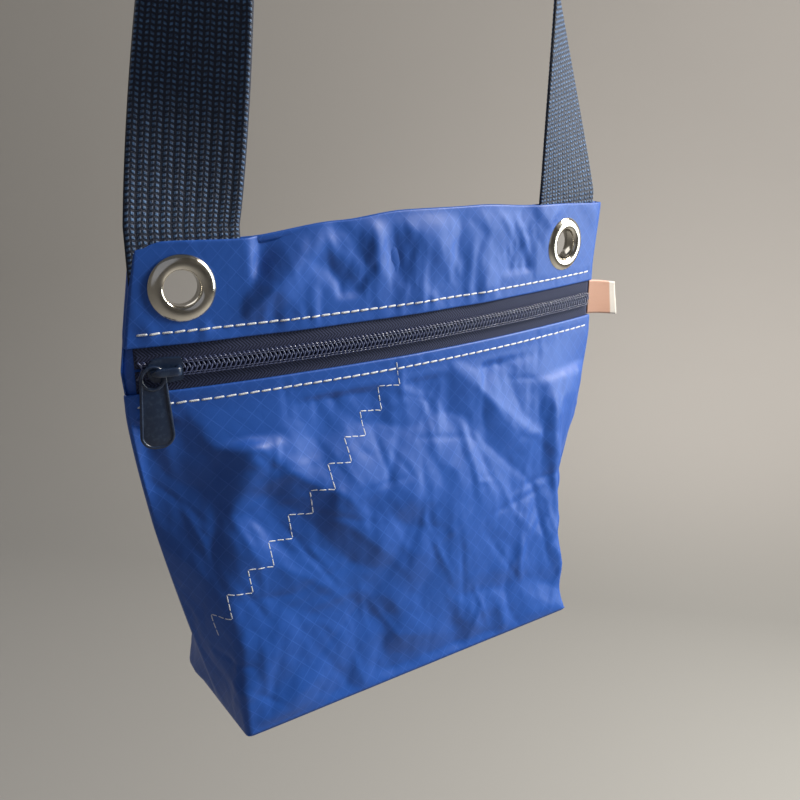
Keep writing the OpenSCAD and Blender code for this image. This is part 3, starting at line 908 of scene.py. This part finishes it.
def makeCoilMaterial():
    material, tree, shader = newMaterial("nylon_monofilament", Roughness=0.3, IOR=1.53, Coat_Weight=0.7,
                                         Coat_Roughness=0.2)
    place = addNode(tree, "TexCoord").outputs["Object"]
    streak = addNode(tree, "TexNoise", {"Vector": place}, {"Scale": 1 / (2 * mm), "Detail": 2})
    colors = {6: hexColor(zipCoil["color"]), 7: hexColor(zipCoil["light"])}
    color = addNode(tree, "Mix", {0: streak}, colors, data_type="RGBA")
    tree.links.new(color.outputs[2], shader.inputs["Base Color"])
    return material


def makeCoil(name, side, material):
    bm = bmesh.new()
    end = halfTop - 1.2
    turns = round(2 * end / zipCoil["pitch"])
    steps, wire, tall = zipCoil["stepsPerTurn"], zipCoil["wire"], bag["coilHeight"] / 2
    t = np.arange(turns * steps + 1) / steps
    angle = t * math.tau
    s = -end + zipCoil["pitch"] * (t + 0.25 * side + 0.10 * np.sin(angle)) - zipCoil["slant"] * np.cos(angle)
    middle, reach = 1.15, 1.75 - wire + 0.35
    height = bag["tapeOut"] + tall + (tall - wire) * np.sin(angle)
    z = -bag["zipDown"] + side * (middle + reach * np.cos(angle))
    points = onArc(s, height, z)
    core = onArc(s, bag["tapeOut"] + tall, -bag["zipDown"] + side * middle)
    ups = onArc(s, height + 1, z) - points
    tube(bm, points, points - core + ups * 0.01, wire, 6)
    return finishPiece(f"{name}_wire", bm, material, "bag", [name])


# Sewing threads that hold each coil to its tape
def makeCoilThreads(material):
    bm = bmesh.new()
    end, pitch = halfTop - 1.5, zipCoil["pitch"]
    for side in (-1, 1):
        for away in (1.75, 2.5):
            s = np.arange(-end, end, pitch / 4)
            lift = 0.16 * np.abs(np.sin(s * math.pi / pitch + side * 0.8))
            out = bag["tapeOut"] + bag["coilHeight"] + lift - 0.1
            points = onArc(s, out, -bag["zipDown"] + side * (away + 0.1 * np.sin(s * math.tau / pitch)))
            tube(bm, points, onArc(s, out + 1, points[:, 2]) - points, 0.12, 5)
    return finishPiece("coil_sewing_threads", bm, material, "bag")


# Polyester thread: bright white, twisted from three plies, with painted shade darkening the grooves between
# the plies
thread = {"color": "#f4f6f8", "paintedGrooveShade": "#c9ced6", "straight": 0.4, "zigzag": 0.27, "pitch": 4, "inset": 3.9,
          "legs": 21, "leg": 9.6}


def makeThreadMaterial():
    material, tree, shader = newMaterial("twisted_polyester_thread", Roughness=0.5, IOR=1.5)
    uv = addNode(tree, "UVMap", uv_map="UVMap")
    values = {"Scale": (1000, 1000, 1000), "Rotation": (0, 0, math.radians(35))}
    inMm = addNode(tree, "Mapping", {"Vector": uv}, values)
    ply = addNode(tree, "TexWave", {"Vector": inMm}, {"Scale": 0.6}, bands_direction="X").outputs["Fac"]
    # Painted shade: where the ply wave dips, between the plies, the colour goes to the darker groove colour
    colors = {6: hexColor(thread["paintedGrooveShade"]), 7: hexColor(thread["color"])}
    color = addNode(tree, "Mix", {0: ply}, colors, data_type="RGBA")
    bump = addNode(tree, "Bump", {"Height": ply}, {"Strength": 0.5, "Distance": 0.08 * mm})
    tree.links.new(color.outputs[2], shader.inputs["Base Color"])
    tree.links.new(bump.outputs[0], shader.inputs["Normal"])
    return material


# One stitch that comes up out of the cloth, lies on it and goes down again
def stitch(bm, relief, radius, start, end, sink=0.25):
    u = np.linspace(0, 1, 9)
    lift = radius * 0.75 - (sink + radius) * np.abs(2 * u - 1) ** 8
    q, z = start[0] + (end[0] - start[0]) * u, start[1] + (end[1] - start[1]) * u
    points = skin(frontBase, relief, -1, q, z, lift)
    ups = skin(frontBase, relief, -1, q, z, lift + 1) - points
    radii = radius * (1 - 0.2 * np.abs(2 * u - 1) ** 4)
    tube(bm, points, ups, radii, 8)


def makeStitches(material):
    draw = random.Random(71)
    rows = (("upper_topstitch", yokeRelief, yokeEnd - thread["inset"]),
            ("lower_topstitch", frontRelief, panelStart + thread["inset"]))
    half = thread["pitch"] * 0.47
    for name, relief, z in rows:
        bm = bmesh.new()
        count = int((girth - 8) / thread["pitch"])
        for i in range(count):
            middle = girth / 2 + (i + 0.5 - count / 2) * thread["pitch"]
            slope = draw.uniform(0.03, 0.2)
            stitch(bm, relief, thread["straight"], (middle - half, z + slope), (middle + half, z - slope))
        finishPiece(f"{name}_thread", bm, material, "bag", [name])
    bm = bmesh.new()
    q, z = girth / 2 - 8, panelStart + 1
    for i in range(thread["legs"]):
        angle = math.radians(135 - 52 if i % 2 == 0 else 135 + 52)
        c, s = thread["leg"] * math.cos(angle), thread["leg"] * math.sin(angle)
        for part in range(3):
            a, b = part / 3 + 0.004, (part + 1) / 3 - 0.004
            wobble = draw.uniform(-0.15, 0.15)
            start, end = (q + c * a, z + s * a + wobble), (q + c * b, z + s * b - wobble)
            stitch(bm, frontRelief, thread["zigzag"], start, end, 0.06)
        q, z = q + c, z + s
    finishPiece("zigzag_stitch_thread", bm, material, "bag", ["zigzag_stitch"])


# Nickel-plated brass: mirror bright with a faintly uneven polish and a warm cast
nickel = {
    "color": "#d8d2c6",
    "roughness": (0.08, 0.26),
    "rim": [   # radius, height out
        (6.0, -2.9), (6.0, 1.2), (6.06, 1.8), (6.25, 2.3), (6.6, 2.7), (7.2, 3.0), (7.9, 3.16), (8.7, 3.17),
        (9.5, 3.02), (10.2, 2.76), (10.8, 2.42), (11.22, 2.05), (11.46, 1.74), (11.5, 1.6), (11.3, 1.56),
        (9.0, 1.6), (6.9, 1.7), (6.5, 1.5), (6.5, -2.3), (6.9, -2.3), (8.1, -2.3), (8.2, -2.5),
        (8.0, -2.7), (7.2, -2.9), (6.5, -3.0),
    ],
    "washer": [(6.6, -1.72), (6.6, -2.25), (9.0, -2.3), (10.9, -2.2), (11.35, -2.0), (11.5, -1.72)],
}


def makeNickel():
    color = hexColor(nickel["color"])
    material, tree, shader = newMaterial("polished_nickel_plate", Metallic=1.0, Base_Color=color)
    place = addNode(tree, "TexCoord").outputs["Object"]
    wear = addNode(tree, "TexNoise", {"Vector": place}, {"Scale": 1 / (3 * mm), "Detail": 5})
    low, high = nickel["roughness"]
    values = {"From Min": 0.3, "From Max": 0.8, "To Min": low, "To Max": high}
    roughness = addNode(tree, "MapRange", {"Value": wear}, values)
    bump = addNode(tree, "Bump", {"Height": wear}, {"Strength": 0.05, "Distance": 0.1 * mm})
    tree.links.new(roughness.outputs[0], shader.inputs["Roughness"])
    tree.links.new(bump.outputs[0], shader.inputs["Normal"])
    return material


# Turns a profile of (radius, height out) about an eyelet's axis
def makeRing(name, profile, side, material, replaced):
    bm = bmesh.new()
    spinProfile(bm, profile, 96, closed=True)
    angle = math.asin(eyeletX(side) / zipRadius)
    place = (Matrix.Translation((0, zipAxisY * mm, topEdge - bag["eyeletDown"] * mm))
             @ Matrix.Rotation(angle, 4, "Z") @ Matrix.Translation((0, -zipRadius * mm, 0))
             @ Matrix.Rotation(math.radians(90), 4, "X") @ Matrix.Scale(mm, 4))
    bmesh.ops.transform(bm, matrix=place, verts=bm.verts)
    return finishPiece(name, bm, material, "bag", [replaced])


def makeEyelets(material):
    for label, side in (("left", -1), ("right", 1)):
        makeRing(f"{label}_eyelet_rim", nickel["rim"], side, material, f"{label}_eyelet")
        makeRing(f"{label}_washer_ring", nickel["washer"], side, material, f"{label}_washer")


# Folded satin ribbon, bare
ribbon = {"color": "#c4937b", "edgeColor": "#ddd6ce", "length": 18, "width": 15.5, "droop": 8}


def makeTag():
    material, tree, shader = newMaterial("woven_satin_ribbon", Roughness=0.5, IOR=1.5, Sheen_Weight=0.3)
    length, width = ribbon["length"], ribbon["width"]
    uv = addNode(tree, "UVMap", uv_map="UVMap")
    inMm = addNode(tree, "Mapping", {"Vector": uv}, {"Scale": (1000, 1000, 1000)})
    along = addNode(tree, "SeparateXYZ", {"Vector": inMm}).outputs["X"]
    values = {"From Min": length - 4.4, "From Max": length - 3.6}
    white = addNode(tree, "MapRange", {"Value": along}, values, interpolation_type="SMOOTHSTEP")
    weave = addNode(tree, "TexWave", {"Vector": inMm}, {"Scale": 0.5, "Distortion": 0.4}, bands_direction="Y")
    colors = {6: hexColor(ribbon["color"]), 7: hexColor(ribbon["edgeColor"])}
    color = addNode(tree, "Mix", {0: white}, colors, data_type="RGBA")
    ridges = weave.outputs["Fac"]
    bump = addNode(tree, "Bump", {"Height": ridges}, {"Strength": 0.25, "Distance": 0.05 * mm})
    tree.links.new(color.outputs[2], shader.inputs["Base Color"])
    tree.links.new(bump.outputs[0], shader.inputs["Normal"])
    bm = bmesh.new()

    def placeAt(u, v):
        run = u * 2
        out = length * np.where(run < 1, run, 2 - run)
        nearFold = np.clip((length - out) / 1.0, 0, 1)
        gap = 0.38 * np.sqrt(1 - (1 - nearFold) ** 2) * np.where(run < 1, -1, 1)
        share = out / length
        drop = math.radians(ribbon["droop"])
        w = (v - 0.5) * width
        x = halfTop + out * math.cos(drop) - w * math.sin(drop) * share
        z = -bag["zipDown"] - out * math.sin(drop) * share ** 0.4 + w
        y = gap - 0.9 * share ** 2 + 0.25 * np.sin(w / 4) * share
        return np.c_[x, y, z], np.c_[out, w] * mm

    formGrid(bm, 61, 18, placeAt)
    piece = finishPiece("label_tag_ribbon", bm, material, "bag", ["label_tag"])
    thicken(piece, 0.22, 0)
    return piece


# Cast zinc under a dark blue-green enamel, rubbed bright in small scattered specks
enamel = {"color": "#1d2d48", "worn": "#607690"}


def makeEnamel():
    material, tree, shader = newMaterial("enamelled_zinc", Roughness=0.32, IOR=1.5, Coat_Weight=0.4,
                                         Coat_Roughness=0.18)
    place = addNode(tree, "TexCoord").outputs["Object"]
    speck = addNode(tree, "TexNoise", {"Vector": place}, {"Scale": 1 / (1.5 * mm), "Detail": 4})
    values = {"From Min": 0.5, "From Max": 0.75, "To Min": 0, "To Max": 0.18}
    share = addNode(tree, "MapRange", {"Value": speck}, values)
    colors = {6: hexColor(enamel["color"]), 7: hexColor(enamel["worn"])}
    color = addNode(tree, "Mix", {0: share}, colors, data_type="RGBA")
    bump = addNode(tree, "Bump", {"Height": speck}, {"Strength": 0.1, "Distance": 0.1 * mm})
    tree.links.new(color.outputs[2], shader.inputs["Base Color"])
    tree.links.new(bump.outputs[0], shader.inputs["Normal"])
    return material


# Slider in its own frame, in mm: x along the zip, y outward from the middle of the webbing, z up
slider = {
    "x": -96,
    "length": 12,
    "width": 9.4,
    "upper": (3.1, 4.1),
    "lower": (-1.0, 0.0),
    "lip": 1.2,
    "innerHalf": 3.4,
    "soft": 0.28,
    "crown": {"feet": 4.4, "floor": 4.0, "bar": 6.9, "halfWidth": 1.5, "footHalf": 0.6, "halfThick": 0.88},
    "spring": {"x": 2.4, "width": 1.0, "thick": 0.3, "top": 5.9, "length": 1.2},
}
pull = {"eyeX": -4.4, "drop": 2.1, "eye": 4.5, "hole": 3.2, "end": 5.0, "flat": 0.9, "length": 29.5,
        "inner": 4.45, "thick": 1.2}


def onSlider(points):
    angle = math.asin(slider["x"] / zipRadius)
    x, y, z = points[:, 0], -points[:, 1] - zipRadius, points[:, 2]
    return np.c_[x * math.cos(angle) - y * math.sin(angle),
                 zipAxisY + x * math.sin(angle) + y * math.cos(angle), z - bag["zipDown"]]


# Flat plate with softened edges between two depths, from its outline and an optional hole in it
def plate(bm, outline, inner, outer, soft, hole=None):
    start = set(bm.verts)
    edges = []
    for loop in [outline] + ([hole] if hole is not None else []):
        verts = [bm.verts.new((x, inner, z)) for x, z in loop]
        edges += [bm.edges.new(pair) for pair in zip(verts, verts[1:] + verts[:1])]
    filled = bmesh.ops.triangle_fill(bm, edges=edges, use_beauty=True)
    faces = [f for f in filled["geom"] if isinstance(f, bmesh.types.BMFace)]
    raised = bmesh.ops.extrude_face_region(bm, geom=faces, use_keep_orig=True)
    top = [v for v in raised["geom"] if isinstance(v, bmesh.types.BMVert)]
    bmesh.ops.translate(bm, vec=(0, outer - inner, 0), verts=top)
    fresh = [v for v in bm.verts if v not in start]
    faces = list({f for v in fresh for f in v.link_faces})
    bmesh.ops.recalc_face_normals(bm, faces=faces)
    sharp = [e for e in {e for f in faces for e in f.edges} if e.is_manifold and e.calc_face_angle(0) > 1.2]
    rims = [e for e in sharp if abs(e.verts[0].co.y - e.verts[1].co.y) < 1e-6]
    bmesh.ops.bevel(bm, geom=rims, offset=soft, segments=3, affect="EDGES", profile=0.5, material=-1,
                    clamp_overlap=True)


# The outline in the slider's frame is moved into the bag's place
def settle(bm):
    places = toFrame(onSlider(np.array([v.co[:] for v in bm.verts])))
    for v, place in zip(bm.verts, places):
        v.co = place
    faceOut(bm)


def ringPoints(centreX, centreZ, radius, start, end, count):
    angles = [math.radians(start + (end - start) * i / count) for i in range(count + 1)]
    return [(centreX + radius * math.cos(a), centreZ + radius * math.sin(a)) for a in angles]


# Outline from x on, so wide, and high to both sides of the middle
def rectangle(x, wide, high):
    return [(x, -high), (x + wide, -high), (x + wide, high), (x, high)]


def makeBody(material):
    half, nose, inner = slider["length"] / 2, slider["width"] / 2, slider["innerHalf"]
    tail = nose - 0.9
    back = half - 0.3
    turn = -half + nose + 2.2
    outline = ringPoints(-half + nose, 0, nose, 126, 234, 22)
    outline += [(turn, -tail - 0.45), (half - 0.6, -tail), (half, -tail + 0.6), (half, tail - 0.6),
                (half - 0.6, tail), (turn, tail + 0.45)]
    bm = bmesh.new()
    plate(bm, outline, *slider["upper"], slider["soft"])
    plate(bm, outline, *slider["lower"], slider["soft"])
    for side in (-1, 1):
        wall = [(-half + 1.6, inner), (back, inner), (back, tail - 0.1), (turn - 0.6, tail + 0.3),
                (-half + 1.6, tail - 0.35)]
        plate(bm, [(x, side * z) for x, z in wall], slider["lip"], slider["upper"][0] + 0.2, 0.12)
    plate(bm, rectangle(-half + 0.7, 2.7, 0.3), slider["lower"][1] - 0.3, slider["upper"][0] + 0.3, 0.08)
    settle(bm)
    finishPiece("slider_body_cast", bm, material, "slider", ["slider_body"], smooth=False)


def makeCrown(material):
    crown = slider["crown"]
    feet, floor, bar = crown["feet"], crown["floor"], crown["bar"]
    bend = np.radians((20, 40, 60, 80))
    side = [(feet, floor), (feet, floor + 0.9), (feet, floor + 1.7)]
    side += list(zip(feet - 1.2 + 1.2 * np.cos(bend), floor + 1.7 + 1.2 * np.sin(bend)))
    top = [(x, bar + 0.05 * (1 - (x / 3) ** 2)) for x in (-2.4, -1.2, 0, 1.2, 2.4)]
    path = np.array([(-x, y) for x, y in side] + top + side[::-1])
    ahead = unit(np.gradient(path, axis=0))
    aside = np.c_[-ahead[:, 1], ahead[:, 0]]
    narrow = np.interp(path[:, 0], (-feet, -feet + 1.6), (0, 1))
    widths = crown["footHalf"] + (crown["halfWidth"] - crown["footHalf"]) * narrow
    sides = 24

    def placeAt(u, v):
        row, turn = stepOf(u, len(path)), stepOf(v, sides + 1) * math.tau / sides
        out, up = (np.sign(part) * np.abs(part) ** 0.55 for part in (np.cos(turn), np.sin(turn)))
        flat = path[row] + aside[row] * (out * crown["halfThick"])[:, None]
        points = np.c_[flat[:, 0], flat[:, 1], up * widths[row]]
        return onSlider(points), np.c_[u * 0.02, v * 0.01]

    bm = bmesh.new()
    formGrid(bm, len(path), sides + 1, placeAt, closed=True)
    faceOut(bm)
    finishPiece("slider_crown_cast", bm, material, "slider", ["slider_crown"])


def makeLeaf(material):
    leaf = slider["spring"]
    x, edge, under = leaf["x"], leaf["width"] / 2, leaf["top"] - leaf["thick"]
    bm = bmesh.new()
    plate(bm, rectangle(x, leaf["length"], edge), under, leaf["top"], 0.06)
    plate(bm, rectangle(x, leaf["thick"], edge), slider["upper"][0], under, 0.05)
    settle(bm)
    replaced = ["slider_lock_spring"]
    finishPiece("slider_lock_leaf", bm, material, "slider", replaced, smooth=False)


# Pull tab: a thin sunk plate inside a raised bead round the outline and the eye
def makePull(material):
    eyeX, eyeZ, bead = pull["eyeX"], -pull["drop"], pull["thick"] / 2
    endZ = pull["end"] + pull["eye"] - pull["length"]
    tilt = math.degrees(math.asin((pull["end"] + pull["flat"] - pull["eye"]) / -endZ))

    def outlineAt(inset):
        loop = ringPoints(0, 0, pull["eye"] - inset, -tilt, 180 + tilt, 36)
        loop += ringPoints(-pull["flat"], endZ, pull["end"] - inset, 180 + tilt, 270, 14)
        loop += ringPoints(pull["flat"], endZ, pull["end"] - inset, 270, 360 - tilt, 14)
        return [(x + eyeX, z + eyeZ) for x, z in loop]

    middle = pull["inner"] + bead
    bm = bmesh.new()
    hole, rim = (ringPoints(eyeX, eyeZ, pull["hole"] + more, 0, 352.5, 47) for more in (0, bead))
    plate(bm, outlineAt(0.35), middle - 0.38, middle + 0.3, 0.1, hole)
    settle(bm)
    for loop in (outlineAt(bead - 0.02), rim):
        ring = np.array([(x, middle, z) for x, z in loop + loop[:1]])
        points = onSlider(ring)
        tube(bm, points, onSlider(ring + np.array([0, 1, 0])) - points, bead, 14)
    finishPiece("pull_tab_cast", bm, material, "pull", ["pull_tab"])


bpy.context.scene.view_settings.view_transform = "Standard"
makeCamera()
makeStudio()
print("stage and camera are set")
cloth = makeSailcloth()
yokeCloth, panelCloth, backCloth = makeCloth(cloth)
baseCloth = makeBase(cloth)
print("cloth panels are folded")
strap = makeStrap(makeWebbing())
print("strap is woven")
tapeMaterial = makeTapeMaterial()
coilMaterial = makeCoilMaterial()
for label, side in (("upper", 1), ("lower", -1)):
    tape = makeTape(f"{label}_zip_tape", side, tapeMaterial)
    makeCoil(f"{label}_zip_coil", side, coilMaterial)
makeCoilThreads(coilMaterial)
print("zip is closed")
makeStitches(makeThreadMaterial())
metal = makeNickel()
makeEyelets(metal)
tag = makeTag()
paint = makeEnamel()
makeBody(paint)
makeCrown(paint)
makeLeaf(metal)
makePull(paint)
print("trims are on")
